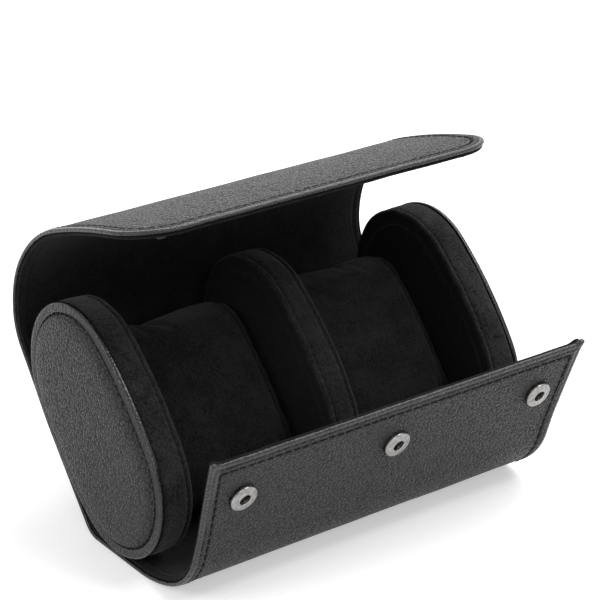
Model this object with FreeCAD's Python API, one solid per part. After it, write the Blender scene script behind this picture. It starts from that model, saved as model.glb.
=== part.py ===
import FreeCAD, Part
import math
import os
from FreeCAD import Vector

# Travel case for two watches: an oval core of two end caps, a divider and two cushions,
# held in a leather wrap that opens as a long upper lid and a short front flap with snaps.
# Millimetres. X runs along the case, Z is up, the open side faces -Y.
# The origin is on the flat underside, straight below the lowest line of the oval.

# Case
cap_span = 145.0           # between the flat rims of the two cap faces
oval_height = 85.5         # long axis of the oval section
oval_depth = 57.0          # short axis of the oval section
oval_side_bulge = 1.3      # the round ends have half the depth less this for radius
lean_deg = 43.2            # the long axis leans back by this when the case is open
seat_clearance = 0.4       # between the wrap's lining and what it goes round
back_clearance = 0.05      # the same at the back, where the caps and divider are stuck down
overrun = 2.0              # how far a cutting tool passes a surface
least_run = 0.01           # a shorter stretch of outline is left out

# Wrap
wrap_short = 1.5           # the wrap stops this far inside the rim of each cap face
leather_thickness = 1.0
board_thickness = 0.8
lining_thickness = 0.8
hem_width = 5.0            # leather turned over the board along each edge
hem_corner_radius = 6.0    # inner edge of the hem at a rounded corner
lining_inset = 0.7         # the lining stops short of the leather's edge
board_clearance = 0.1      # round the board's edge
layer_gap = 0.02           # between the layers of the wrap

# Underside and back of the wrap
flat_ahead = 6.0           # resting face in front of the lowest line
flat_behind = 14.0         # resting face behind the lowest line
heel_radius = 8.0          # where the underside turns up to the back

# Lid, from the end of the back to its free edge. Its length is a share of the girth of the
# closed case, its runs of one curvature and its flexing lines are shares of its length.
lid_girth_share = 0.5333
lid_run_shares = [0.1413, 0.0967, 0.1636, 0.2082, 0.3902]
lid_turns_deg = [-3.0, 35.0, 36.0, 34.0, 12.0]
crown_line_share = 0.0892
lid_line_share = 0.6245
lid_corner_radius = 17.0
crown_close_deg = 31.8
lid_close_deg = 25.6

# Front flap, from the front of the resting face to its free edge
front_girth_share = 0.337
front_run_shares = [0.0588, 0.2118, 0.2588, 0.4706]
front_turns_deg = [0.0, 22.0, 50.0, -2.0]
panel_line_share = 0.6353
apron_close_deg = 22.9
panel_close_deg = 37.8
panel_flare = 2.0          # the flap widens by this at each side of its free edge

# Flexing lines of the wrap
flex_gap = 0.3             # between the pieces on the outside
flex_spare_deg = 3.0       # beyond the angle that the line closes by

# Snaps
snap_from_side = 12.7      # the outer snaps, from the sides of the wrap
snap_count = 3
socket_from_edge = 17.0
stud_from_edge = 8.0
socket_radius = 4.75
socket_height = 2.0
socket_bore_radius = 1.75
socket_bevel = 0.8
socket_wall = 0.7
spring_width = 0.5         # of the split ring's flat wire
spring_thickness = 0.4
spring_radius = 2.75
spring_slot = 0.6
stud_base_radius = 3.8
stud_base_height = 0.35
stud_radius = 1.35
stud_height = 1.4
stud_bevel = 0.4
post_radius = 1.5
post_flange_radius = 2.8
post_clearance = 0.1

# End caps
face_thickness = 0.8
face_edge_radius = 0.5
face_border = 4.6          # flat leather border round the pad
pad_rise = 1.9
pad_shoulder = 3.2         # how far the pad's rounded shoulder reaches in
pad_in_shares = [0.0, 0.03, 0.14, 0.37, 0.67, 1.0]
pad_rise_shares = [0.0, 0.33, 0.64, 0.86, 0.97, 1.0]
welt_radius = 0.5
welt_bevel = 0.3
welt_proud = 0.15
band_thickness = 1.2
cap_depth = 12.5           # from the face's rim to the inner side
band_lip = 4.0             # suede turned on to the inner side
panel_thickness = 0.8
panel_recess = 0.3
core_clearance = 0.05

# Divider
divider_width = 12.0
divider_step = 0.3         # the divider's outline is this much inside the caps'

# Cushions
cushion_end_gap = 9.75     # from the round ends of the oval, for the strap
cushion_back_gap = 1.6     # for the strap
cushion_front_gap = 19.8   # for the head of the watch
cushion_squareness = 1.2   # how much less than half its depth its ends are rounded by
cushion_side_gap = 0.35
cushion_crown = 2.2        # the ends of the cushion draw in by this
crown_place_shares = [-1.0, -0.94, -0.8, -0.5, 0.5, 0.8, 0.94, 1.0]
crown_in_shares = [1.0, 0.5, 0.2, 0.03, 0.03, 0.2, 0.5, 1.0]
cover_thickness = 1.2
cushion_end_thickness = 1.2

wrap_width = cap_span - 2 * wrap_short
wrap_thickness = leather_thickness + board_thickness + lining_thickness
outline_step = seat_clearance + wrap_thickness
lean = math.radians(lean_deg)
half_height = oval_height / 2
half_depth = oval_depth / 2
oval_end_radius = half_depth - oval_side_bulge
oval_centre_y = (half_height - oval_end_radius) * math.sin(lean)
oval_centre_z = (half_height - oval_end_radius) * math.cos(lean) + oval_end_radius + outline_step


def side_radius(half_long, half_short, end_radius):
    """Radius of the long sides of an oval whose ends are round."""
    straight = half_long - end_radius
    return (half_short ** 2 + straight ** 2 - end_radius ** 2) / (2 * (half_short - end_radius))


def in_section(forward, along):
    """Y and Z of a place in the oval's section: forward out of the mouth, along the long axis."""
    y = oval_centre_y - forward * math.cos(lean) + along * math.sin(lean)
    z = oval_centre_z + forward * math.sin(lean) + along * math.cos(lean)
    return y, z


def oval_wire(x, half_long, half_short, end_radius, grow=0.0, forward=0.0):
    """Oval of four tangent arcs, grown evenly outwards, at one place along the case."""
    radius = side_radius(half_long, half_short, end_radius)
    to_side = radius - half_short
    to_end = half_long - end_radius
    reach = math.hypot(to_side, to_end)
    join_forward = to_side / reach * (radius + grow) - to_side
    join_along = to_end / reach * (radius + grow)

    def at(f, a):
        y, z = in_section(forward + f, a)
        return Vector(x, y, z)

    corners = [at(join_forward, join_along), at(-join_forward, join_along),
               at(-join_forward, -join_along), at(join_forward, -join_along)]
    middles = [at(0, half_long + grow), at(-half_short - grow, 0),
               at(0, -half_long - grow), at(half_short + grow, 0)]
    arcs = []
    for i in range(len(corners)):
        arcs.append(Part.Arc(corners[i], middles[i], corners[(i + 1) % len(corners)]).toShape())
    return Part.Wire(arcs)


def case_wire(x, grow=0.0):
    return oval_wire(x, half_height, half_depth, oval_end_radius, grow)


def plate(wire, x_to):
    """Solid from a flat wire across the case to another place along it."""
    x_from = wire.BoundBox.XMin
    return Part.Face(wire).extrude(Vector(x_to - x_from, 0, 0))


class Sheet:
    """A sheet bent along a chain of runs, each of one curvature. Depth is measured inwards."""

    def __init__(self, start, heading_deg, runs, inside):
        self.inside = inside
        self.parts = []
        along = 0.0
        y, z = start
        heading = math.radians(heading_deg)
        for length, turn_deg in runs:
            turn = math.radians(turn_deg) * inside
            self.parts.append((along, length, y, z, heading, turn))
            y, z = self.step(y, z, heading, turn, length)
            heading = heading + turn
            along = along + length
        self.length = along

    @staticmethod
    def step(y, z, heading, turn, length):
        if turn == 0:
            return y + length * math.cos(heading), z + length * math.sin(heading)
        chord = length * math.sin(turn / 2) / (turn / 2)
        middle = heading + turn / 2
        return y + chord * math.cos(middle), z + chord * math.sin(middle)

    def frame(self, along):
        """Y, Z and heading on the outer surface."""
        for begin, length, y, z, heading, turn in self.parts:
            last = begin == self.parts[-1][0]
            if along <= begin + length or last:
                share = (along - begin) / length
                y, z = self.step(y, z, heading, turn * share, along - begin)
                return y, z, heading + turn * share

    def at(self, along, depth):
        y, z, heading = self.frame(along)
        inset = depth * self.inside
        return Vector(0, y - inset * math.sin(heading), z + inset * math.cos(heading))

    def inward(self, along):
        heading = self.frame(along)[2]
        return Vector(0, -self.inside * math.sin(heading), self.inside * math.cos(heading))

    def tangent(self, along):
        heading = self.frame(along)[2]
        return Vector(0, math.cos(heading), math.sin(heading))

    def line(self, begin, end, depth):
        edges = []
        for start, length, _y, _z, _heading, turn in self.parts:
            low = max(begin, start)
            high = min(end, start + length)
            if high - low < least_run:
                continue
            if turn == 0:
                edges.append(Part.makeLine(self.at(low, depth), self.at(high, depth)))
            else:
                edges.append(Part.Arc(self.at(low, depth), self.at((low + high) / 2, depth),
                                      self.at(high, depth)).toShape())
        return edges

    def band(self, begin, end, outer, inner, half_width):
        """Solid between two depths, from one side of the case to the other."""
        edges = self.line(begin, end, outer) + self.line(begin, end, inner)
        edges.append(Part.makeLine(self.at(begin, outer), self.at(begin, inner)))
        edges.append(Part.makeLine(self.at(end, outer), self.at(end, inner)))
        face = Part.Face(Part.Wire(Part.__sortEdges__(edges)))
        solid = face.extrude(Vector(2 * half_width, 0, 0))
        solid.translate(Vector(-half_width, 0, 0))
        return solid

    def notch(self, along, close_deg):
        """Tool that parts the sheet at a flexing line and leaves room to close."""
        half_gap = flex_gap / 2
        open_half = math.tan(math.radians((close_deg + flex_spare_deg) / 2)) * wrap_thickness
        tangent = self.tangent(along)
        inward = self.inward(along)
        crest = self.at(along, 0)
        spread = open_half * (wrap_thickness + overrun) / wrap_thickness
        outline = [(half_gap, -overrun), (half_gap, 0), (half_gap + spread, wrap_thickness + overrun),
                   (-half_gap - spread, wrap_thickness + overrun), (-half_gap, 0), (-half_gap, -overrun)]
        points = [crest + tangent * a + inward * d for a, d in outline]
        points.append(points[0])
        tool = Part.Face(Part.makePolygon(points)).extrude(Vector(2 * wrap_width, 0, 0))
        tool.translate(Vector(-wrap_width, 0, 0))
        return tool


def back_runs():
    """Underside, heel, and the back up to where the wrap leaves the round end of the oval."""
    radius = side_radius(half_height, half_depth, oval_end_radius)
    side_y, side_z = in_section(radius - half_depth, 0)
    outer_radius = radius + outline_step
    heel_y = flat_behind
    reach = math.hypot(side_y - heel_y, side_z - heel_radius)
    bearing = math.atan2(side_z - heel_radius, side_y - heel_y)
    rise = bearing - math.asin((outer_radius - heel_radius) / reach)
    straight = math.sqrt(reach ** 2 - (outer_radius - heel_radius) ** 2)
    end_heading = math.pi / 2 - lean + math.atan2(half_height - oval_end_radius, radius - half_depth)
    side_turn = end_heading - rise
    return [(flat_ahead + flat_behind, 0), (heel_radius * rise, math.degrees(rise)), (straight, 0),
            (outer_radius * side_turn, math.degrees(side_turn))]


def closed_girth():
    """Length round the outside of the closed wrap."""
    radius = side_radius(half_height, half_depth, oval_end_radius)
    side_half = math.atan2(half_height - oval_end_radius, radius - half_depth)
    end_half = math.pi / 2 - side_half
    return 4 * (side_half * (radius + outline_step) + end_half * (oval_end_radius + outline_step))


lid_length = closed_girth() * lid_girth_share
front_length = closed_girth() * front_girth_share
lid_runs = [(lid_length * share, turn) for share, turn in zip(lid_run_shares, lid_turns_deg)]
front_runs = [(front_length * share, turn) for share, turn in zip(front_run_shares, front_turns_deg)]
front_line = (-flat_ahead, 0)
rear = Sheet(front_line, 0, back_runs() + lid_runs, 1)
front = Sheet(front_line, 180, front_runs, -1)
back_length = sum(length for length, _turn in back_runs())
crown_line = back_length + lid_length * crown_line_share
lid_line = back_length + lid_length * lid_line_share
panel_line = front_length * panel_line_share

leather_depths = (0, leather_thickness)
board_depths = (leather_thickness + layer_gap, leather_thickness + board_thickness - layer_gap)
lining_depths = (leather_thickness + board_thickness, wrap_thickness)
edge_reach = wrap_width / 2


def cut_all(solid, tools):
    for tool in tools:
        solid = solid.cut(tool)
    return solid


def corner_tools(sheet, end, half_width, radius, inset):
    """Tools that round the two free corners of a sheet, square to its surface."""
    tangent = sheet.tangent(end)
    inward = sheet.inward(end)
    base = sheet.at(end, 0) - inward * (overrun + radius) - tangent * inset
    tools = []
    for hand in (-1, 1):
        side = Vector(hand, 0, 0)
        tip = base + side * (half_width - inset)
        start = tip - tangent * radius
        finish = tip - side * radius
        middle = tip - (tangent + side) * (radius * (1 - math.sqrt(0.5)))
        beyond = inset + overrun
        rim = [finish + tangent * beyond, tip + (tangent + side) * beyond, start + side * beyond]
        edges = [Part.Arc(start, middle, finish).toShape(), Part.makeLine(finish, rim[0]),
                 Part.makeLine(rim[0], rim[1]), Part.makeLine(rim[1], rim[2]),
                 Part.makeLine(rim[2], start)]
        face = Part.Face(Part.Wire(edges))
        tools.append(face.extrude(inward * 2 * (overrun + radius)))
    return tools


def strip(sheet, begin, end, depths, half_width, notches, corner=0.0, inset=0.0):
    """One layer of the wrap between two flexing lines, with rounded free corners if asked."""
    solid = sheet.band(begin, end, depths[0], depths[1], half_width)
    if corner > 0:
        solid = cut_all(solid, corner_tools(sheet, end + inset, half_width + inset, corner, inset))
    return cut_all(solid, [sheet.notch(line, close_deg) for line, close_deg in notches])


def leather_strip(sheet, begin, end, notches, free_end, half_width, corner=0.0):
    """Outer leather with its free edges turned in round the board."""
    hem_floor = lining_depths[0] - layer_gap
    solid = strip(sheet, begin, end, (0, hem_floor), half_width, notches, corner)
    pocket_end = end - hem_width if free_end else end
    pocket_corner = hem_corner_radius if corner > 0 else 0.0
    pocket = strip(sheet, begin, pocket_end, (leather_thickness, hem_floor + overrun),
                   half_width - hem_width, [], pocket_corner)
    return solid.cut(pocket)


def board_strip(sheet, begin, end, notches, free_end, half_width, corner=0.0):
    gap = hem_width + board_clearance
    board_end = end - gap if free_end else end
    board_corner = hem_corner_radius - board_clearance if corner > 0 else 0.0
    return strip(sheet, begin, board_end, board_depths, half_width - gap, notches, board_corner)


def lining_strip(sheet, begin, end, notches, free_end, half_width, corner=0.0):
    lining_end = end - lining_inset if free_end else end
    lining_corner = corner - lining_inset if corner > 0 else 0.0
    return strip(sheet, begin, lining_end, lining_depths, half_width - lining_inset, notches,
                 lining_corner)


def flare_tools(inset):
    """Tools that taper the sides of the widened front flap back to the width of the wrap."""
    begin = panel_line
    end = front.length
    tangent = front.tangent((begin + end) / 2)
    inward = front.inward((begin + end) / 2)
    above = inward * -2 * overrun
    tools = []
    for hand in (-1, 1):
        side = Vector(hand, 0, 0)
        low = front.at(begin, 0) + above + side * (edge_reach - inset)
        high = front.at(end, 0) + above + side * (edge_reach + panel_flare - inset)
        slope = (high - low) * (overrun / (end - begin))
        reach = side * (panel_flare + inset + overrun) + tangent * overrun
        points = [low - slope, high + slope, high + reach, low + reach - tangent * 2 * overrun]
        points.append(points[0])
        tools.append(Part.Face(Part.makePolygon(points)).extrude(inward * (wrap_thickness + 4 * overrun)))
    return tools


def cylinder(radius, height, base, direction):
    return Part.makeCylinder(radius, height, base, direction)


def snap_places():
    pitch = (wrap_width - 2 * snap_from_side) / (snap_count - 1)
    return [Vector(snap_from_side - wrap_width / 2 + i * pitch, 0, 0) for i in range(snap_count)]


socket_along = front.length - socket_from_edge
stud_along = rear.length - stud_from_edge


def turned(outline, base, axis):
    """Solid of revolution from points given as radius and height above a base."""
    points = [Vector(radius, 0, height) for radius, height in outline]
    points.append(points[0])
    solid = Part.Face(Part.makePolygon(points)).revolve(Vector(0, 0, 0), Vector(0, 0, 1), 360)
    solid.Placement = FreeCAD.Placement(base, FreeCAD.Rotation(Vector(0, 0, 1), axis))
    return solid


def socket_solid(place):
    """Female snap part: a bevelled disc with a hole for the stud and a chamber for the spring."""
    outward = front.inward(socket_along) * -1
    chamber_radius = spring_radius + post_clearance
    hole_radius = post_radius + post_clearance
    lid_height = socket_height - socket_wall
    outline = [(hole_radius, 0), (socket_radius, 0), (socket_radius, socket_height - socket_bevel),
               (socket_radius - socket_bevel, socket_height), (socket_bore_radius, socket_height),
               (socket_bore_radius, lid_height), (chamber_radius, lid_height),
               (chamber_radius, socket_wall), (hole_radius, socket_wall)]
    return turned(outline, front.at(socket_along, 0) + place, outward)


def spring_solid(place):
    """Split ring of flat wire that grips the stud."""
    outward = front.inward(socket_along) * -1
    inner = spring_radius - spring_width
    low = (socket_height - spring_thickness) / 2
    high = low + spring_thickness
    ring = turned([(inner, low), (spring_radius, low), (spring_radius, high), (inner, high)],
                  Vector(0, 0, 0), Vector(0, 0, 1))
    slot = Part.makeBox(spring_slot, 2 * spring_radius, socket_height, Vector(-spring_slot / 2, 0, 0))
    ring = ring.cut(slot)
    ring.Placement = FreeCAD.Placement(front.at(socket_along, 0) + place,
                                       FreeCAD.Rotation(Vector(0, 0, 1), outward))
    return ring


def post_solid(sheet, along, place, outwards):
    """Hidden rivet of a snap: a flange in the board and a shank through the outer layer."""
    shank_depth = leather_thickness if outwards else lining_thickness
    wall = socket_wall if outwards else stud_base_height
    inward = sheet.inward(along)
    side = inward * -1 if outwards else inward
    layer = leather_thickness if outwards else leather_thickness + board_thickness
    seat = sheet.at(along, layer) + place
    flange_height = board_thickness - 2 * layer_gap
    flange = cylinder(post_flange_radius, flange_height, seat - side * (flange_height + layer_gap), side)
    shank_height = shank_depth + layer_gap + wall - post_clearance
    shank = cylinder(post_radius, shank_height, seat - side * layer_gap, side)
    return flange.fuse(shank).removeSplitter()


def stud_solid(place):
    """Male snap part on the inside of the lid."""
    hole_radius = post_radius + post_clearance
    hole_height = stud_base_height - post_clearance
    top = stud_base_height + stud_height
    outline = [(0, hole_height), (hole_radius, hole_height), (hole_radius, 0), (stud_base_radius, 0),
               (stud_base_radius, stud_base_height), (stud_radius, stud_base_height),
               (stud_radius, top - stud_bevel), (stud_radius - stud_bevel, top), (0, top)]
    return turned(outline, rear.at(stud_along, wrap_thickness) + place, rear.inward(stud_along))


def holes(sheet, along, radius):
    inward = sheet.inward(along)
    base = sheet.at(along, 0) - inward * overrun
    return [cylinder(radius, wrap_thickness + 2 * overrun, base + place, inward) for place in snap_places()]


def snap_seats(sheet, along, depth, radius, outward):
    """Tools that press a flat seat into the surface under each snap."""
    seat = sheet.at(along, depth)
    return [cylinder(radius + post_clearance, overrun, seat + place, outward) for place in snap_places()]


parts = {}


def snap_set(make):
    return Part.makeCompound([make(place) for place in snap_places()])


def make_strip(name, sheet, begin, end, notches, free_end=False, half_width=edge_reach, corner=0.0):
    makers = {"leather": leather_strip, "board": board_strip, "lining": lining_strip}
    for layer, make in makers.items():
        parts[name + "_" + layer] = make(sheet, begin, end, notches, free_end, half_width, corner)


def make_back():
    make_strip("back", rear, 0, crown_line, [(crown_line, crown_close_deg), (0, apron_close_deg)])
    seat_begin = back_length - back_runs()[-1][0]
    seat = rear.band(seat_begin, back_length, wrap_thickness, outline_step - back_clearance,
                     edge_reach - lining_inset)
    parts["back_lining"] = parts["back_lining"].fuse(seat).removeSplitter()


def make_crown():
    notches = [(crown_line, crown_close_deg), (lid_line, lid_close_deg)]
    make_strip("crown", rear, crown_line, lid_line, notches)


def make_lid():
    make_strip("lid", rear, lid_line, rear.length, [(lid_line, lid_close_deg)], True, edge_reach,
               lid_corner_radius)
    flange_holes = holes(rear, stud_along, post_flange_radius + post_clearance)
    parts["lid_board"] = cut_all(parts["lid_board"], flange_holes)
    dents = snap_seats(rear, stud_along, wrap_thickness, stud_base_radius, rear.inward(stud_along))
    shank_holes = holes(rear, stud_along, post_radius + post_clearance)
    parts["lid_lining"] = cut_all(parts["lid_lining"], shank_holes + dents)
    parts["snap_studs"] = snap_set(stud_solid)
    parts["stud_posts"] = snap_set(lambda place: post_solid(rear, stud_along, place, False))


def make_apron():
    make_strip("apron", front, 0, panel_line, [(0, apron_close_deg), (panel_line, panel_close_deg)])


def make_front_panel():
    wide = edge_reach + panel_flare
    make_strip("panel", front, panel_line, front.length, [(panel_line, panel_close_deg)], True, wide)
    insets = {"leather": 0, "board": hem_width + board_clearance, "lining": lining_inset}
    bores = {"leather": post_radius, "board": post_flange_radius}
    for layer, inset in insets.items():
        solid = cut_all(parts["panel_" + layer], flare_tools(inset))
        if layer in bores:
            solid = cut_all(solid, holes(front, socket_along, bores[layer] + post_clearance))
        parts["panel_" + layer] = solid
    dents = snap_seats(front, socket_along, 0, socket_radius, front.inward(socket_along) * -1)
    parts["panel_leather"] = cut_all(parts["panel_leather"], dents)
    parts["snap_sockets"] = snap_set(socket_solid)
    parts["snap_springs"] = snap_set(spring_solid)
    parts["socket_posts"] = snap_set(lambda place: post_solid(front, socket_along, place, True))


def make_cap(name, hand):
    """One end cap, modelled on the right and mirrored for the left."""
    rim = cap_span / 2
    face_back = rim - face_thickness
    face = plate(case_wire(face_back), rim)
    outer_edges = [e for e in face.Edges if e.BoundBox.XMin > face_back + face_thickness / 2]
    face = face.makeFillet(face_edge_radius, outer_edges)
    wires = [case_wire(rim + pad_rise * rise_share, -face_border - pad_shoulder * in_share)
             for in_share, rise_share in zip(pad_in_shares, pad_rise_shares)]
    pad = Part.makeLoft(wires, True, True)
    face = face.fuse(pad)
    welt_low = face_back - 2 * welt_radius + core_clearance
    welt_high = face_back - core_clearance
    welt_rim = [(welt_low, welt_proud - welt_bevel), (welt_low + welt_bevel, welt_proud),
                (welt_high - welt_bevel, welt_proud), (welt_high, welt_proud - welt_bevel)]
    welt = Part.makeLoft([case_wire(x, grow) for x, grow in welt_rim], True, True)
    welt = welt.cut(plate(case_wire(welt_low - overrun, -2 * welt_radius), welt_high + overrun))
    welt_back = face_back - 2 * welt_radius
    inner = rim - cap_depth
    band = plate(case_wire(inner), welt_back)
    band = band.cut(plate(case_wire(inner + band_thickness, -band_thickness), welt_back + overrun))
    band = band.cut(plate(case_wire(inner - overrun, -band_thickness - band_lip), welt_back + overrun))
    panel = plate(case_wire(inner + panel_recess, -band_thickness - band_lip - core_clearance),
                  inner + panel_recess + panel_thickness)
    core_inner = inner + panel_recess + panel_thickness
    lip_clear = inner + band_thickness + core_clearance
    core = plate(case_wire(lip_clear, -band_thickness - core_clearance), welt_back)
    neck = plate(case_wire(core_inner, -2 * welt_radius - core_clearance), face_back)
    neck = neck.cut(plate(case_wire(core_inner - overrun), lip_clear))
    core = core.fuse(plate(case_wire(core_inner, -band_thickness - band_lip - core_clearance), lip_clear))
    core = core.fuse(neck.common(plate(case_wire(welt_back), face_back))).removeSplitter()
    pieces = {"face": face, "welt": welt, "band": band, "core": core, "inner_panel": panel}
    for piece, solid in pieces.items():
        if hand < 0:
            solid = solid.mirror(Vector(0, 0, 0), Vector(1, 0, 0))
        parts[name + "_" + piece] = solid


def make_divider():
    half = divider_width / 2
    grow = -divider_step
    band = plate(case_wire(-half, grow), half)
    opening = plate(case_wire(-half - overrun, grow - band_thickness - band_lip), half + overrun)
    hollow = plate(case_wire(-half + band_thickness, grow - band_thickness), half - band_thickness)
    parts["divider_band"] = band.cut(opening).cut(hollow)
    core_half = half - band_thickness - core_clearance
    core = plate(case_wire(-core_half, grow - band_thickness - core_clearance), core_half)
    web_half = half - panel_recess - panel_thickness
    web_grow = grow - band_thickness - band_lip - core_clearance
    parts["divider_core"] = core.fuse(plate(case_wire(-web_half, web_grow), web_half)).removeSplitter()
    for name, hand in (("divider_left_panel", -1), ("divider_right_panel", 1)):
        parts[name] = plate(case_wire(hand * web_half, web_grow), hand * (web_half + panel_thickness))


def cushion_wires(middle, half, shrink):
    """Sections of a cushion: full over its middle, drawn in towards both ends."""
    half_long = half_height - cushion_end_gap
    half_short = (oval_depth - cushion_back_gap - cushion_front_gap) / 2
    forward = (cushion_back_gap - cushion_front_gap) / 2
    end_radius = half_short - cushion_squareness
    wires = []
    for place, in_share in zip(crown_place_shares, crown_in_shares):
        grow = -shrink - cushion_crown * in_share
        wires.append(oval_wire(middle + half * place, half_long, half_short, end_radius, grow, forward))
    return wires


def make_cushion(name, hand):
    inner_face = cap_span / 2 - cap_depth
    middle = hand * (inner_face + divider_width / 2) / 2
    half = (inner_face - divider_width / 2) / 2 - cushion_side_gap
    lining = cover_thickness + core_clearance
    outside = Part.makeLoft(cushion_wires(middle, half, 0), True, True)
    hollow = Part.makeLoft(cushion_wires(middle, half + overrun, cover_thickness), True, True)
    parts[name + "_cover"] = outside.cut(hollow)
    core_half = half - cushion_end_thickness - core_clearance
    parts[name + "_core"] = Part.makeLoft(cushion_wires(middle, core_half, lining), True, True)
    ends = []
    for side in (-1, 1):
        wire = cushion_wires(middle, side * half, lining)[-1]
        ends.append(plate(wire, middle + side * (half - cushion_end_thickness)))
    parts[name + "_ends"] = Part.makeCompound(ends)


make_back()
make_crown()
make_lid()
make_apron()
make_front_panel()
for cap_name, cap_hand in (("cap_left", -1), ("cap_right", 1)):
    make_cap(cap_name, cap_hand)
make_divider()
for cushion_name, cushion_hand in (("cushion_left", -1), ("cushion_right", 1)):
    make_cushion(cushion_name, cushion_hand)

os.makedirs("parts", exist_ok=True)
for node, shape in parts.items():
    shape.exportStep("parts/" + node + ".step")

for label, place in (("crown line", rear.at(crown_line, 0)), ("lid line", rear.at(lid_line, 0)),
                     ("apron line", front.at(0, 0)), ("panel line", front.at(panel_line, 0))):
    print(label, round(place.y, 3), round(place.z, 3))
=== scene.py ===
import bpy
import math
from mathutils import Matrix, Vector, noise


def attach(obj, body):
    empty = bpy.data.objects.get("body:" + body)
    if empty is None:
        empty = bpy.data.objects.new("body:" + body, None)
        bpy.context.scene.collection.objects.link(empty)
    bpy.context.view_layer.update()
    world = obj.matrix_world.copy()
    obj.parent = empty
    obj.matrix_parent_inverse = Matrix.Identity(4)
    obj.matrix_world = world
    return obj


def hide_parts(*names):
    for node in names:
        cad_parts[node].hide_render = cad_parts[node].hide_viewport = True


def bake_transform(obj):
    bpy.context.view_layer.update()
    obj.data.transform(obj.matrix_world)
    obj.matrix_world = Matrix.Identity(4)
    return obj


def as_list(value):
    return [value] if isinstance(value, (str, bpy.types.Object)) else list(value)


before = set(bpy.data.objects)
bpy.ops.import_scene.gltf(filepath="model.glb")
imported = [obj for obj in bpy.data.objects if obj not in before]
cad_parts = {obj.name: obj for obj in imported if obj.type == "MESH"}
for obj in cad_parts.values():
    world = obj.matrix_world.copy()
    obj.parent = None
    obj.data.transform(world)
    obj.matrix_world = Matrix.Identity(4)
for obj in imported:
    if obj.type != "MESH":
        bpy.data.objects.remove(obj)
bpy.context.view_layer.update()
print("frame loaded")

# The oval section of the case: half sizes, round ends, backward lean and centre
oval = {"halfLong": 0.04275, "halfShort": 0.0285, "endRadius": 0.0272,
        "lean": math.radians(43.2), "centreY": 0.0106447, "centreZ": 0.0415355,
        "sideFaces": 26, "endFaces": 64}


def deselectAll():
    if bpy.context.mode != "OBJECT":
        bpy.ops.object.mode_set(mode="OBJECT")
    bpy.ops.object.select_all(action="DESELECT")


def activate(piece):
    deselectAll()
    piece.select_set(True)
    bpy.context.view_layer.objects.active = piece


def applyModifiers(piece):
    activate(piece)
    for modifier in list(piece.modifiers):
        bpy.ops.object.modifier_apply(modifier=modifier.name)


def smoothShade(piece, angle=60):
    activate(piece)
    bpy.ops.object.shade_smooth_by_angle(angle=math.radians(angle))


def sectionPlace(forward, along):
    # forward is square to the oval's long axis, towards the open side, and along runs up it
    y = oval["centreY"] - forward * math.cos(oval["lean"]) + along * math.sin(oval["lean"])
    z = oval["centreZ"] + forward * math.sin(oval["lean"]) + along * math.cos(oval["lean"])
    return y, z


def ovalRays(size):
    # centre, radius and direction of every point round an oval of four arcs
    halfLong, halfShort, endRadius = size["halfLong"], size["halfShort"], size["endRadius"]
    toEnd = halfLong - endRadius
    sideRadius = (halfShort ** 2 + toEnd ** 2 - endRadius ** 2) / (2 * (halfShort - endRadius))
    sideHalf = math.atan2(toEnd, sideRadius - halfShort)
    endHalf = math.pi / 2 - sideHalf
    rays = []
    for centre, radius, middle, half, faces in (
            ((-(sideRadius - halfShort), 0), sideRadius, 0, sideHalf, oval["sideFaces"]),
            ((0, toEnd), endRadius, math.pi / 2, endHalf, oval["endFaces"]),
            ((sideRadius - halfShort, 0), sideRadius, math.pi, sideHalf, oval["sideFaces"]),
            ((0, -toEnd), endRadius, math.pi * 1.5, endHalf, oval["endFaces"])):
        for i in range(faces):
            angle = middle - half + 2 * half * i / faces
            rays.append((centre, radius, (math.cos(angle), math.sin(angle))))
    return rays


def ovalPoint(ray, grow, forward=0.0):
    centre, radius, direction = ray
    return sectionPlace(centre[0] + forward + direction[0] * (radius + grow),
                        centre[1] + direction[1] * (radius + grow))


# Finishes
def newMaterial(name):
    material = bpy.data.materials.new(name)
    material.use_nodes = True
    tree = material.node_tree
    return material, tree, tree.nodes["Principled BSDF"]


def addNode(tree, kind, **values):
    # a value names a property of the node or one of its inputs
    node = tree.nodes.new(kind)
    for key, value in values.items():
        if hasattr(node, key):
            setattr(node, key, value)
        else:
            node.inputs[key].default_value = value
    return node


def feed(tree, socket, value):
    # another node's output is linked to the socket, and a plain value is set on it
    if isinstance(value, bpy.types.NodeSocket):
        tree.links.new(value, socket)
    else:
        socket.default_value = value


def mathNode(tree, operation, first, second):
    node = addNode(tree, "ShaderNodeMath", operation=operation)
    feed(tree, node.inputs[0], first)
    feed(tree, node.inputs[1], second)
    return node.outputs[0]


def mixNode(tree, kind, factor, first, second, blend="MIX"):
    node = addNode(tree, "ShaderNodeMix", data_type=kind, blend_type=blend)
    firstInput, output = {"VECTOR": (4, 1), "RGBA": (6, 2)}[kind]
    feed(tree, node.inputs["Factor"], factor)
    feed(tree, node.inputs[firstInput], first)
    feed(tree, node.inputs[firstInput + 1], second)
    return node.outputs[output]


def ramp(tree, source, stops):
    node = tree.nodes.new("ShaderNodeValToRGB")
    elements = node.color_ramp.elements
    while len(elements) < len(stops):
        elements.new(0.5)
    for element, (place, colour) in zip(elements, stops):
        element.position = place
        element.color = (colour, colour, colour, 1) if isinstance(colour, float) else (*colour, 1)
    tree.links.new(source, node.inputs["Fac"])
    return node.outputs["Color"]


def twoTone(tree, source, dark, light, low=0.3, high=0.7):
    # a noise turned into a colour or a value between two ends
    return ramp(tree, source, [(low, dark), (high, light)])


def objectPlace(tree):
    return addNode(tree, "ShaderNodeTexCoord").outputs["Object"]


def noiseNode(tree, place, scale, detail, distortion=0.0, output="Fac"):
    node = addNode(tree, "ShaderNodeTexNoise", Scale=scale, Detail=detail, Distortion=distortion)
    tree.links.new(place, node.inputs["Vector"])
    return node.outputs[output]


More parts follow.
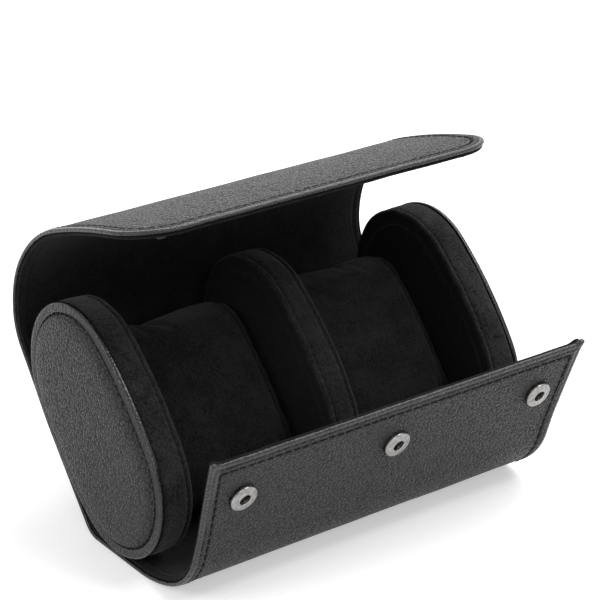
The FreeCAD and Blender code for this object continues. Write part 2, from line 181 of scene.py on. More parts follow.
def pebbleNode(tree, place, scale, feature):
    node = addNode(tree, "ShaderNodeTexVoronoi", feature=feature, Scale=scale)
    tree.links.new(place, node.inputs["Vector"])
    return node.outputs["Distance"]


def addBump(tree, shader, height, strength, distance):
    bump = addNode(tree, "ShaderNodeBump", Distance=distance)
    feed(tree, bump.inputs["Strength"], strength)
    tree.links.new(height, bump.inputs["Height"])
    tree.links.new(bump.outputs["Normal"], shader.inputs["Normal"])


def pebbledLeather(name, look):
    # round cells are the pebbles, and the lines between them the creases
    material, tree, shader = newMaterial(name)
    place = objectPlace(tree)
    wander = noiseNode(tree, place, look["wanderScale"], 2.0, output="Color")
    moved = mixNode(tree, "VECTOR", look["wander"], place, wander)
    toCrease = pebbleNode(tree, moved, look["grainScale"], "DISTANCE_TO_EDGE")
    toMiddle = pebbleNode(tree, moved, look["grainScale"], "F1")
    fine = noiseNode(tree, place, look["fineScale"], 3.0)
    broad = noiseNode(tree, place, look["broadScale"], 3.0)
    rim = addNode(tree, "ShaderNodeAttribute", attribute_name="rim").outputs["Fac"]  # 1 on a folded edge

    dome = mathNode(tree, "SUBTRACT", 1.0, mathNode(tree, "POWER", toMiddle, 2.0))
    height = mathNode(tree, "ADD", dome, mathNode(tree, "MULTIPLY", fine, look["fineShare"]))
    flatter = mathNode(tree, "MULTIPLY", rim, look["rimSmoothing"])
    addBump(tree, shader, height, mathNode(tree, "SUBTRACT", 1.0, flatter), look["bumpDistance"])

    tone = twoTone(tree, broad, look["dark"], look["light"])
    # painted shade: the base colour darkens into the creases between the pebbles
    crease = ramp(tree, toCrease, look["paintedCreaseShade"])
    feed(tree, shader.inputs["Base Color"],
         mixNode(tree, "RGBA", look["paintedCreaseShadeShare"], tone, crease, "MULTIPLY"))

    rough = mathNode(tree, "MULTIPLY", ramp(tree, toCrease, look["creaseRoughness"]),
                     mathNode(tree, "SUBTRACT", 1.0, rim))
    polish = mathNode(tree, "MULTIPLY", rim, look["rimRoughness"])
    feed(tree, shader.inputs["Roughness"], mathNode(tree, "ADD", rough, polish))
    feed(tree, shader.inputs["Specular IOR Level"], look["specular"])
    return material


def suede(name, look, sheen):
    # broad clouds and brushed streaks, with painted shade: the colour darkens where the piece's attribute
    # says its faces lie in shade
    material, tree, shader = newMaterial(name)
    place = objectPlace(tree)
    fibre = noiseNode(tree, place, look["napScale"], 4.0)
    cloud = noiseNode(tree, place, look["cloudScale"], 3.0, 0.6)
    brushed = noiseNode(tree, place, look["brushScale"], 4.0, 1.2)
    mottle = mathNode(tree, "ADD", mathNode(tree, "MULTIPLY", cloud, look["cloudShare"]),
                      mathNode(tree, "MULTIPLY", brushed, 1 - look["cloudShare"]))

    paintedShade = addNode(tree, "ShaderNodeAttribute", attribute_name="paintedShade").outputs["Fac"]
    tone = twoTone(tree, mottle, look["dark"], look["light"], look["darkTo"], look["lightFrom"])
    # painted shade: the colour goes towards the dark tone by the attribute's share
    feed(tree, shader.inputs["Base Color"],
         mixNode(tree, "RGBA", mathNode(tree, "MULTIPLY", paintedShade, look["paintedShadeDepth"]), tone,
                 (*look["dark"], 1)))

    height = mathNode(tree, "ADD", mathNode(tree, "MULTIPLY", fibre, look["fibreHeight"]),
                      mathNode(tree, "MULTIPLY", mottle, look["mottleHeight"]))
    addBump(tree, shader, height, look["bumpStrength"], look["bumpDistance"])
    feed(tree, shader.inputs["Roughness"], look["roughness"])
    feed(tree, shader.inputs["Specular IOR Level"], look["specular"])
    feed(tree, shader.inputs["Sheen Weight"], sheen)
    feed(tree, shader.inputs["Sheen Roughness"], look["sheenRoughness"])
    feed(tree, shader.inputs["Sheen Tint"], (*look["sheenTint"], 1))
    return material


def thread(name, look):
    material, tree, shader = newMaterial(name)
    twist = noiseNode(tree, objectPlace(tree), look["twistScale"], 2.0)
    feed(tree, shader.inputs["Base Color"],
         twoTone(tree, twist, look["dark"], look["light"], 0.35, 0.65))
    addBump(tree, shader, twist, look["bumpStrength"], look["bumpDistance"])
    feed(tree, shader.inputs["Roughness"], look["roughness"])
    feed(tree, shader.inputs["Specular IOR Level"], look["specular"])
    return material


def gunmetal(name, look):
    # tone and roughness both follow the wear
    material, tree, shader = newMaterial(name)
    wear = noiseNode(tree, objectPlace(tree), look["wearScale"], 4.0)
    feed(tree, shader.inputs["Base Color"], twoTone(tree, wear, look["dark"], look["light"]))
    feed(tree, shader.inputs["Roughness"], twoTone(tree, wear, look["polished"], look["worn"]))
    addBump(tree, shader, wear, look["bumpStrength"], look["bumpDistance"])
    feed(tree, shader.inputs["Metallic"], 1.0)
    return material


def plainBoard(name, look):
    material, tree, shader = newMaterial(name)
    fibre = noiseNode(tree, objectPlace(tree), look["fibreScale"], 4.0)
    feed(tree, shader.inputs["Base Color"], twoTone(tree, fibre, look["dark"], look["light"]))
    feed(tree, shader.inputs["Roughness"], look["roughness"])
    return material


leather = pebbledLeather("pebbledLeather", {
    "grainScale": 1000.0, "fineScale": 2600.0, "fineShare": 0.16, "broadScale": 28.0,
    "wanderScale": 450.0, "wander": 0.0009, "bumpDistance": 0.00085,
    "dark": (0.0130, 0.0130, 0.0143), "light": (0.0205, 0.0205, 0.0223),
    # painted shade: the colour darkens into the creases
    "paintedCreaseShadeShare": 0.85, "paintedCreaseShade": [(0.0, 0.05), (0.08, 0.5), (0.28, 1.0)],
    "creaseRoughness": [(0.0, 0.85), (0.08, 0.6375), (0.25, 0.36)],
    "specular": 0.41, "rimSmoothing": 0.85, "rimRoughness": 0.18})
nap = {
    "napScale": 3600.0, "cloudScale": 110.0, "brushScale": 1250.0, "cloudShare": 0.35,
    "dark": (0.0030, 0.0030, 0.0033), "light": (0.0290, 0.0290, 0.0305),
    "darkTo": 0.39, "lightFrom": 0.63, "paintedShadeDepth": 0.85,
    "fibreHeight": 0.5, "mottleHeight": 3.0, "bumpStrength": 0.7, "bumpDistance": 0.0004,
    "roughness": 0.95, "specular": 0.12, "sheenRoughness": 0.45, "sheenTint": (0.34, 0.34, 0.36)}
# one suede and copies with less sheen, painted shade for the cushions, the linings and the faces inside
# the bays
napped = suede("nappedSuede", nap, 0.34)
shadedCushionSuede = suede("shadedCushionSuede", nap, 0.21)
shadedLiningSuede = suede("shadedLiningSuede", nap, 0.15)
shadedInnerSuede = suede("shadedInnerSuede", nap, 0.085)
blackThread = thread("blackThread", {
    "twistScale": 2600.0, "dark": 0.0042, "light": 0.0098, "bumpStrength": 0.5,
    "bumpDistance": 0.0001, "roughness": 0.7, "specular": 0.15})
wear = {"wearScale": 700.0, "bumpStrength": 0.08, "bumpDistance": 0.0001}
snapMetal = gunmetal("gunmetal", {
    **wear, "dark": (0.17, 0.165, 0.16), "light": (0.36, 0.35, 0.345), "polished": 0.15, "worn": 0.28})
# a darker copy of the gunmetal, painted shade for the posts inside the sockets and for the studs under
# the lid
paintedShadeMetal = gunmetal("paintedShadeGunmetal", {
    **wear, "dark": (0.03, 0.03, 0.03), "light": (0.06, 0.06, 0.06), "polished": 0.3, "worn": 0.43})
fibreBoard = plainBoard("fibreBoard", {
    "fibreScale": 500.0, "dark": (0.2, 0.17, 0.13), "light": (0.32, 0.28, 0.22), "roughness": 0.9})
print("materials ready")

mergeDistance = 0.00001


# Shells laid out point by point from one grid
def gridPiece(name, across, along, place, layers=1):
    # a grid primitive, thickened by an extrusion where it has two layers, then laid in place
    deselectAll()
    bpy.ops.mesh.primitive_grid_add(x_subdivisions=across, y_subdivisions=along, size=2)
    piece = bpy.context.active_object
    piece.name = piece.data.name = name
    if layers == 2:
        bpy.ops.object.mode_set(mode="EDIT")
        bpy.ops.mesh.select_all(action="SELECT")
        bpy.ops.mesh.extrude_region_move(TRANSFORM_OT_translate={"value": (0, 0, -1)})
        bpy.ops.object.mode_set(mode="OBJECT")
    for vertex in piece.data.vertices:
        column = round((vertex.co.x + 1) / 2 * across)
        row = round((vertex.co.y + 1) / 2 * along)
        vertex.co = place(column, row, round(-vertex.co.z))
    bpy.ops.object.mode_set(mode="EDIT")
    bpy.ops.mesh.select_all(action="SELECT")
    bpy.ops.mesh.remove_doubles(threshold=mergeDistance)
    bpy.ops.mesh.normals_make_consistent(inside=False)
    bpy.ops.object.mode_set(mode="OBJECT")
    return piece


def closeEnds(piece):
    # the open rims of a shell are filled, then all faces are turned outwards
    activate(piece)
    bpy.ops.object.mode_set(mode="EDIT")
    bpy.ops.mesh.select_all(action="SELECT")
    bpy.ops.mesh.fill_holes(sides=0)
    bpy.ops.mesh.select_all(action="SELECT")
    bpy.ops.mesh.normals_make_consistent(inside=False)
    bpy.ops.object.mode_set(mode="OBJECT")


def setAmount(piece, name, rule):
    # a share from 0 to 1 on every vertex, for the piece's material to read
    attribute = piece.data.attributes.new(name, "FLOAT", "POINT")
    for vertex in piece.data.vertices:
        attribute.data[vertex.index].value = min(1.0, max(0.0, rule(vertex.co)))


def coverInSuede(piece, facing, inner, rule):
    # faces that look into a bay take a shaded copy of the suede with less sheen, and the attribute
    # darkens their colour: painted shade where those faces lie in shade
    piece.data.materials.append(facing)
    piece.data.materials.append(inner)
    setAmount(piece, "paintedShade", rule)
    for face in piece.data.polygons:
        if rule(face.center) > 0.5:
            face.material_index = 1


def placeCopy(model, name, position, side, top, axis):
    # a copy with its own mesh, its three axes laid along side, top and axis
    copy = bpy.data.objects.new(name, model.data.copy())
    bpy.context.collection.objects.link(copy)
    turn = Matrix((side, top, axis)).transposed().to_4x4()
    copy.data.transform(Matrix.Translation(position) @ turn)
    return copy


stitchShape = {"sides": 8, "bodyShare": 0.72, "endShare": 0.14, "endTaper": 0.45}


def addStitches(piece, places, size):
    # one stitch is modelled, and copied to each place with its own direction
    deselectAll()
    bpy.ops.mesh.primitive_cylinder_add(vertices=stitchShape["sides"], radius=size["stitchRadius"],
                                        depth=size["stitchLength"] * stitchShape["bodyShare"])
    stitch = bpy.context.active_object
    bpy.ops.object.mode_set(mode="EDIT")
    bpy.ops.mesh.select_all(action="DESELECT")
    bpy.ops.mesh.select_mode(type="FACE")
    bpy.ops.object.mode_set(mode="OBJECT")
    for face in stitch.data.polygons:
        face.select = abs(face.normal.z) > 0.9
    bpy.ops.object.mode_set(mode="EDIT")
    bpy.ops.mesh.extrude_faces_move(
        TRANSFORM_OT_shrink_fatten={"value": size["stitchLength"] * stitchShape["endShare"]})
    bpy.ops.transform.resize(value=(stitchShape["endTaper"], stitchShape["endTaper"], 1))
    bpy.ops.object.mode_set(mode="OBJECT")
    stitch.data.materials.append(blackThread)
    smoothShade(stitch)
    copies = []
    for position, direction, outward in places:
        side = direction.cross(outward).normalized()
        copies.append(placeCopy(stitch, "stitch", position, side, outward.normalized(),
                                direction.normalized()))
    bpy.data.objects.remove(stitch)
    deselectAll()
    for copy in copies:
        copy.select_set(True)
    piece.select_set(True)
    bpy.context.view_layer.objects.active = piece
    bpy.ops.object.join()


# The leather wrap: one line from the front flap's edge under the case and over to the lid's edge
wrap = {"halfWidth": 0.071, "thickness": 0.0026, "leather": 0.0014, "liningFrom": 0.00145,
        "liningInset": 0.0007, "cornerRadius": 0.017, "flare": 0.002, "start": (-0.006, 0.0),
        "rearRuns": [(0.02, 0), (0.0071116, 50.9329), (0.0305783, 0), (0.0117265, 5.4249),
                     (0.0190077, -3), (0.0130081, 35), (0.0220075, 36), (0.0280072, 34), (0.0524899, 12)],
        "frontRuns": [(0.0049983, 0), (0.0180041, 22), (0.0219994, 50), (0.0400036, -2)],
        "crownLine": 0.0814156, "lidLine": 0.1534244, "panelLine": 0.0540039,
        "undersideSeam": 0.011, "apronSeam": -0.030,
        "groove": 0.0040, "grooveDepth": 0.00028, "grooveWidth": 0.0005, "rimPuff": 0.0002,
        "crease": 0.0017, "creaseDepth": 0.0003, "creaseWidth": 0.00024,
        "waver": 0.00018, "waverScale": 60, "waverFade": 0.01,
        "ear": 0.0013, "earMiddle": 0.001, "earReach": 0.0019, "earLift": 0.4,
        # painted shade over the whole lining
        "polish": 0.8, "polishFade": 0.0004, "liningPaintedShade": 0.75,
        "bendHalf": 0.008, "rowStep": 0.0016, "columnStep": 0.0024,
        "stitchLength": 0.0024, "stitchPitch": 0.0033, "stitchRadius": 0.00032, "stitchSink": 0.6}
# distances from a free edge at which the sheets have a line of points
rimSteps = [0, 0.00010, 0.00025, 0.00045, 0.0007, 0.001, 0.0013, 0.0015, 0.0017, 0.0019, 0.0021,
            0.0028, 0.0033, 0.0036, 0.0038, 0.0040, 0.0042, 0.0044, 0.0047, 0.0051, 0.0058, 0.0070,
            0.0090, 0.0115, 0.0142, 0.017]
shortStep = 0.0005


def advance(y, z, heading, turn, length):
    # the end of a run that turns evenly over its length
    if abs(turn) < 1e-9:
        return y + length * math.cos(heading), z + length * math.sin(heading)
    chord = length * math.sin(turn / 2) / (turn / 2)
    return y + chord * math.cos(heading + turn / 2), z + chord * math.sin(heading + turn / 2)


def layRuns(runs, heading, side):
    # each run with the place and heading at which it starts
    laid = []
    y, z = wrap["start"]
    for length, turnDegrees in runs:
        turn = math.radians(turnDegrees) * side
        laid.append((length, y, z, heading, turn))
        y, z = advance(y, z, heading, turn, length)
        heading += turn
    return laid


rearRuns = layRuns(wrap["rearRuns"], 0.0, 1)
frontRuns = layRuns(wrap["frontRuns"], math.pi, -1)
rearEnd = sum(run[0] for run in wrap["rearRuns"])
frontEnd = sum(run[0] for run in wrap["frontRuns"])


def wrapPlace(along, depth):
    # along runs from minus frontEnd at the front flap's edge to rearEnd at the lid's edge
    runs, side = (rearRuns, 1) if along >= 0 else (frontRuns, -1)
    left = abs(along)
    for length, y, z, heading, turn in runs:
        if left <= length:
            break
        left -= length
    else:
        left += length  # past the end, the last run goes on
    y, z = advance(y, z, heading, turn * left / length, left)
    heading += turn * left / length
    return y - depth * side * math.sin(heading), z + depth * side * math.cos(heading)


def wrapNormal(along):
    y0, z0 = wrapPlace(along, 0)
    y1, z1 = wrapPlace(along, shortStep)
    return Vector((0, y0 - y1, z0 - z1)).normalized()


def halfWidthAt(along):
    # the front flap grows wider towards its edge
    share = (-along - wrap["panelLine"]) / (frontEnd - wrap["panelLine"])
    return wrap["halfWidth"] + wrap["flare"] * max(0.0, share)


def roundCorner(fromSide, fromEnd, radius):
    # concentric rings of a square corner become concentric arcs
    if fromSide >= radius or fromEnd >= radius:
        return fromSide, fromEnd
    ring = min(fromSide, fromEnd)
    if ring >= radius - 1e-9:
        return fromSide, fromEnd
    if fromSide <= fromEnd:
        share = (radius - fromEnd) / (radius - ring) / 2
    else:
        share = 1 - (radius - fromSide) / (radius - ring) / 2
    angle = share * math.pi / 2
    return radius - (radius - ring) * math.cos(angle), radius - (radius - ring) * math.sin(angle)


def stretchRows(begin, end, freeEnd, step):
    # distances along a strip, close together where they near a free edge
    if not freeEnd:
        count = max(2, round(abs(end - begin) / step))
        return [begin + (end - begin) * i / count for i in range(count + 1)]
    sign = 1 if end > begin else -1
    inner = end - sign * rimSteps[-1]
    rows = stretchRows(begin, inner, False, step)
    return rows + [end - sign * step for step in reversed(rimSteps[:-1])]


def sheetStrip(name, strip, depthFrom, thickness, inset, showsOuter):
    # a sheet of two layers, with a rounded rim, a groove for the seam and a crease along the fold
    begin, end, freeEnd, corner = strip["begin"], strip["end"], strip["free"], strip["corner"]
    half = thickness / 2
    groove = wrap["groove"] - inset
    edge = end - math.copysign(inset, end - begin) if freeEnd else end
    rows = stretchRows(begin, edge, freeEnd, wrap["rowStep"])
    middleCount = round(2 * (wrap["halfWidth"] - rimSteps[-1]) / wrap["columnStep"])
    columns = [(-1, step) for step in rimSteps[:-1]]
    columns += [(-1 + 2 * i / middleCount, None) for i in range(middleCount + 1)]
    columns += [(1, step) for step in reversed(rimSteps[:-1])]

    def bellAt(value, middle, width):
        return math.exp(-((value - middle) / width) ** 2)

    def rimShape(reach):
        rounding = half - math.sqrt(max(0.0, half ** 2 - (half - reach) ** 2)) if reach < half else 0.0
        press = wrap["grooveDepth"] * bellAt(reach, groove, wrap["grooveWidth"])
        press += wrap["creaseDepth"] * bellAt(reach + inset, wrap["crease"], wrap["creaseWidth"])
        if half < reach < groove:
            press -= wrap["rimPuff"] * math.sin(math.pi * (reach - half) / (groove - half))
        return rounding, press

    def place(column, row, layer):
        side, step = columns[column]
        along = rows[row]
        isOuter = layer == 0
        halfWidth = halfWidthAt(along) - inset
        fromSide = step if step is not None else halfWidth - abs(side) * (halfWidth - rimSteps[-1])
        fromEnd = abs(rows[-1] - along) if freeEnd else 1.0
        rounding, press = rimShape(min(fromSide, fromEnd))
        ear = 0.0
        if freeEnd and corner == 0:  # the folded leather stands up a little at a square corner
            ear = wrap["ear"] * bellAt(fromSide, wrap["earMiddle"], wrap["earReach"])
            ear *= bellAt(fromEnd, 0, wrap["earReach"])
        elif freeEnd:
            fromSide, fromEnd = roundCorner(fromSide, fromEnd, corner - inset)
            along = rows[-1] - math.copysign(fromEnd, end - begin)
        x = math.copysign(halfWidth - fromSide, side)
        depth = depthFrom + rounding if isOuter else depthFrom + thickness - rounding
        if isOuter == showsOuter:
            depth += press if isOuter else -press
        spot = Vector((x * wrap["waverScale"], along * wrap["waverScale"], 3.0))
        depth += wrap["waver"] * noise.noise(spot) * min(1.0, fromSide / wrap["waverFade"])
        if isOuter and showsOuter:
            depth -= ear * wrap["earLift"]
        y, z = wrapPlace(along + math.copysign(ear, end - begin), depth)
        return Vector((x, y, max(z, depthFrom)))  # the sheet lies on the floor and not below it

    piece = gridPiece(name, len(columns) - 1, len(rows) - 1, place, layers=2)
    lastRow = wrapPlace(rows[-1], depthFrom)

    def polished(point):
        fromEdge = wrap["halfWidth"] - abs(point.x)
        toEnd = math.hypot(point.y - lastRow[0], point.z - lastRow[1]) if freeEnd else 1.0
        if fromEdge < corner and toEnd < corner:
            fromEdge = corner - math.hypot(corner - fromEdge, corner - toEnd)
        fromEdge = min(fromEdge, toEnd)
        return min(wrap["polish"], (wrap["crease"] - fromEdge) / wrap["polishFade"])

    if showsOuter:
        setAmount(piece, "rim", polished)
    return piece


def stitchLine(strip):
    # places of the stitches along a strip's edges, evenly spaced
    begin, end, freeEnd, corner = strip["begin"], strip["end"], strip["free"], strip["corner"]
    reach, pitch = wrap["groove"], wrap["stitchPitch"]
    depth = wrap["grooveDepth"] - wrap["stitchRadius"] * wrap["stitchSink"]
    sign = 1 if end > begin else -1
    points = []
    sideEnd = end - sign * max(corner, reach) if freeEnd else end
    count = max(1, round(abs(sideEnd - begin) / pitch))
    for hand in (-1, 1):
        for i in range(count):
            along = begin + (sideEnd - begin) * (i + 0.5) / count
            points.append((hand * (halfWidthAt(along) - reach), along, 0.0, sign))
    if freeEnd:
        radius = max(0.0, corner - reach)
        count = round(radius * math.pi / 2 / pitch)
        for hand in (-1, 1):
            for i in range(count):
                angle = math.pi / 2 * (i + 0.5) / count
                x = hand * (wrap["halfWidth"] - corner + radius * math.cos(angle))
                along = end - sign * (corner - radius * math.sin(angle))
                points.append((x, along, -hand * math.sin(angle), sign * math.cos(angle)))
        width = halfWidthAt(end) - max(corner, reach)
        count = round(2 * width / pitch)
        for i in range(count):
            points.append((-width + 2 * width * (i + 0.5) / count, end - sign * reach, 1.0, 0.0))
    places = []
    for x, along, acrossPart, alongPart in points:
        y, z = wrapPlace(along, depth)
        yNext, zNext = wrapPlace(along + shortStep, depth)
        ahead = Vector((0, yNext - y, zNext - z)).normalized()
        direction = Vector((1, 0, 0)) * acrossPart + ahead * alongPart
        lowest = wrap["stitchRadius"] + abs(direction.z) * wrap["stitchLength"] / 2  # above the floor
        places.append((Vector((x, y, max(z, lowest))), direction, wrapNormal(along)))
    return places


# Four lengths of leather, each with its suede lining; the line is where the strip bends
crownSeam = (wrap["crownLine"] + wrap["lidLine"]) / 2
strips = [
    {"name": "Back", "begin": wrap["undersideSeam"], "end": crownSeam, "free": False, "corner": 0.0,
     "bodies": ("core", "crown"), "line": wrap["crownLine"],
     "leather": ("back_leather",), "board": ("back_board",), "lining": ("back_lining",)},
    {"name": "Lid", "begin": crownSeam, "end": rearEnd, "free": True, "corner": wrap["cornerRadius"],
     "bodies": ("crown", "lid"), "line": wrap["lidLine"],
     "leather": ("crown_leather", "lid_leather"), "board": ("crown_board", "lid_board"),
     "lining": ("crown_lining", "lid_lining")},
    {"name": "Apron", "begin": wrap["undersideSeam"], "end": wrap["apronSeam"], "free": False,
     "corner": 0.0, "bodies": ("core", "apron"), "line": 0.0,
     "leather": ("apron_leather",), "board": ("apron_board",), "lining": ("apron_lining",)},
    {"name": "Front", "begin": wrap["apronSeam"], "end": -frontEnd, "free": True, "corner": 0.0,
     "bodies": ("apron", "front_panel"), "line": -wrap["panelLine"],
     "leather": ("panel_leather",), "board": ("panel_board",), "lining": ("panel_lining",)}]

for strip in strips:
    bend = math.copysign(wrap["bendHalf"], strip["end"] - strip["begin"])
    before = wrapPlace(strip["line"] - bend, 0)
    after = wrapPlace(strip["line"] + bend, 0)

    piece = sheetStrip("wrap" + strip["name"] + "Leather", strip, 0.0, wrap["leather"], 0.0, True)
    piece.data.materials.append(leather)
    smoothShade(piece)
    addStitches(piece, stitchLine(strip), wrap)
    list(strip["bodies"])
    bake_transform(piece)
    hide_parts(*strip["leather"], *strip["board"])

    inset = wrap["liningInset"]
    piece = sheetStrip("wrap" + strip["name"] + "Lining", strip, wrap["liningFrom"],
                       wrap["thickness"] - wrap["liningFrom"], inset, False)
    piece.data.materials.append(shadedLiningSuede)
    # painted shade: the lining's colour is darkened all over
    setAmount(piece, "paintedShade", lambda point: wrap["liningPaintedShade"])
    smoothShade(piece)
    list(strip["bodies"])
    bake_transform(piece)
    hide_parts(*strip["lining"])
    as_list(strip["board"])
print("wrap ready")

# Padded end caps
cap = {"rim": 0.0725,
       "face": [(-0.0018, -0.0012), (-0.0018, -0.0004), (-0.0017, 0.00001), (-0.0014, 0.00015),
                (-0.0010, 0.00012), (-0.0006, 0.00004), (-0.0003, -0.00014), (-0.0001, -0.00045),
                (-0.00002, -0.0010), (0.0, -0.0017), (-0.00003, -0.0024), (-0.0001, -0.0028),
                (-0.00025, -0.0031), (-0.00055, -0.0033), (-0.00055, -0.0036), (0.0, -0.0039),
                (0.0005, -0.0043), (0.00092, -0.0050), (0.00128, -0.0061), (0.00155, -0.0077),
                (0.00173, -0.0098), (0.00184, -0.0126), (0.0019, -0.0162), (0.00192, -0.0202),
                (0.00193, -0.0240)],
       "band": [(-0.0018, -0.0014), (-0.0019, -0.0006), (-0.0022, -0.0002), (-0.0032, 0.0001),
                (-0.0050, 0.0002), (-0.0068, 0.0002), (-0.0085, 0.0001), (-0.0096, 0.0),
                (-0.0101, -0.0002), (-0.0104, -0.0007), (-0.0107, -0.0007), (-0.0110, -0.0001),
                (-0.0115, 0.0), (-0.0120, -0.0003), (-0.0124, -0.0009), (-0.0126, -0.0018),
                (-0.0127, -0.0032), (-0.0125, -0.0045), (-0.0121, -0.0052), (-0.0121, -0.0056),
                (-0.0124, -0.0062), (-0.0126, -0.0080), (-0.0127, -0.0110), (-0.01275, -0.0170),
                (-0.01275, -0.0230)],
       "stitchReach": 0.00345, "stitchDepth": -0.0003, "stitchLength": 0.0020, "stitchPitch": 0.0028,
       "stitchRadius": 0.00028, "softness": 0.00022, "seam": -0.01055, "seamGrow": -0.0006,
       "insideFrom": 0.0118, "insideFade": 0.0008, "polishTo": 0.0001, "polishFade": 0.0004}
ripple = {"growScale": 130, "growSink": 0.7, "sideScale": 110, "sideShare": 0.5}
caseRays = ovalRays(oval)


def mirrored(half):
    # half a profile that ends on the middle plane, made whole
    return half + [(-x, grow) for x, grow in reversed(half[:-1])]


def ovalShell(name, rays, profile, forward=0.0, softness=0.0):
    # rings of one oval, each at its place along X and grown by its own amount
    def place(column, row, layer):
        ray = rays[column % len(rays)]
        x, grow = profile[row]
        spot = Vector((x, *ovalPoint(ray, grow, forward)))
        swell = softness * (noise.noise(spot * ripple["growScale"]) - ripple["growSink"])
        spot = Vector((x, *ovalPoint(ray, grow + swell, forward)))
        spot.x += ripple["sideShare"] * softness * noise.noise(spot * ripple["sideScale"])
        return spot

    piece = gridPiece(name, len(rays), len(profile) - 1, place)
    closeEnds(piece)
    return piece


def ovalStitches(rays, x, grow, pitch, outward=None):
    # stitches evenly spaced round an oval seam, on a face or on the band round it
    ring = [Vector((x, *ovalPoint(ray, grow))) for ray in rays]
    middle = Vector((x, oval["centreY"], oval["centreZ"]))
    total = sum((ring[i] - ring[i - 1]).length for i in range(len(ring)))
    count = round(total / pitch)
    places = []
    walked, target = 0.0, 0.0
    for i in range(len(ring)):
        here, ahead = ring[i], ring[(i + 1) % len(ring)]
        length = (ahead - here).length
        while target < walked + length and len(places) < count:
            spot = here.lerp(ahead, (target - walked) / length)
            places.append((spot, (ahead - here).normalized(), outward or (spot - middle).normalized()))
            target += total / count
        walked += length
    return places


for side, hand in (("left", -1), ("right", 1)):
    profile = [(hand * (cap["rim"] + x), grow) for x, grow in cap["face"]]
    face = ovalShell("cap" + side.capitalize() + "Face", caseRays, profile)
    face.data.materials.append(leather)
    setAmount(face, "rim",
              lambda point: (cap["rim"] + cap["polishTo"] - abs(point.x)) / cap["polishFade"])
    smoothShade(face)
    places = ovalStitches(caseRays, hand * (cap["rim"] + cap["stitchDepth"]), -cap["stitchReach"],
                          cap["stitchPitch"], Vector((hand, 0, 0)))
    addStitches(face, places, cap)
    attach(face, "core")
    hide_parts("cap_" + side + "_face", "cap_" + side + "_welt")
    profile = [(hand * (cap["rim"] + x), grow) for x, grow in cap["band"]]
    band = ovalShell("cap" + side.capitalize() + "Band", caseRays, profile, softness=cap["softness"])
    # painted shade: the band's faces inside the bay are darkened and take the shaded suede
    coverInSuede(band, napped, shadedInnerSuede,
                 lambda point: (cap["rim"] - cap["insideFrom"] - abs(point.x)) / cap["insideFade"])
    smoothShade(band)
    places = ovalStitches(caseRays, hand * (cap["rim"] + cap["seam"]), cap["seamGrow"],
                          cap["stitchPitch"])
    addStitches(band, places, cap)
    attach(band, "core")
    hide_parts("cap_" + side + "_band", "cap_" + side + "_inner_panel")
print("end caps ready")

# Divider between the two bays
# painted shade: a little over the whole divider, full on its sides inside the bays
divider = {"step": -0.0003, "softness": 0.0003, "seam": 0.0036, "seamGrow": -0.0008,
           "insideFrom": 0.0051, "insideFade": 0.0008, "paintedShade": 0.3,
           "profile": [(-0.0061, -0.0230), (-0.0061, -0.0150), (-0.0060, -0.0080), (-0.0058, -0.0060),
                       (-0.0056, -0.0055), (-0.0059, -0.0050), (-0.0060, -0.0030), (-0.0058, -0.0014),
                       (-0.0054, -0.0006), (-0.0048, -0.0001), (-0.0043, 0.0), (-0.0039, -0.0003),
                       (-0.0036, -0.0006), (-0.0033, -0.0003), (-0.0029, 0.0), (-0.0015, 0.0001),
                       (0.0, 0.0001)]}
profile = [(x, grow + divider["step"]) for x, grow in mirrored(divider["profile"])]
dividerPiece = ovalShell("dividerSuede", caseRays, profile, softness=divider["softness"])
coverInSuede(dividerPiece, napped, shadedInnerSuede,
             lambda point: max(divider["paintedShade"],
                               (abs(point.x) - divider["insideFrom"]) / divider["insideFade"]))
smoothShade(dividerPiece)
for x in (-divider["seam"], divider["seam"]):
    places = ovalStitches(caseRays, x, divider["seamGrow"], cap["stitchPitch"])
    addStitches(dividerPiece, places, cap)
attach(dividerPiece, "core")
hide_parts("divider_band", "divider_left_panel", "divider_right_panel")
print("divider ready")

# Watch cushions
# painted shade: half over the whole cover, full at its ends
cushion = {"halfLong": 0.033, "halfShort": 0.0178, "endRadius": 0.0166, "forward": -0.0091,
           "inner": 0.00635, "outer": 0.05965, "shrink": 0.0011, "voxel": 0.0017, "heldShare": 0.6,
           "quality": 6, "pressure": 14.0, "mass": 0.02, "slack": -0.05, "scale": 10.0, "frames": 20,
           "most": 0.0016, "fill": 0.75, "seamReach": 0.0035, "seamDepth": 0.0007, "seamWidth": 0.0006,
           "paintedShade": 0.5, "paintedShadeFrom": 0.002, "paintedShadeFade": 0.001,
           "profile": [(-1.0, -0.0110), (-1.0, -0.0060), (-0.995, -0.0040), (-0.98, -0.0026),
                       (-0.94, -0.0014), (-0.86, -0.0008), (-0.5, -0.0001), (0.0, 0.0)]}
cushionRays = ovalRays(cushion)


def fromSeam(point, middle, reach):
    return abs(abs(point.x - middle) - reach + cushion["seamReach"])


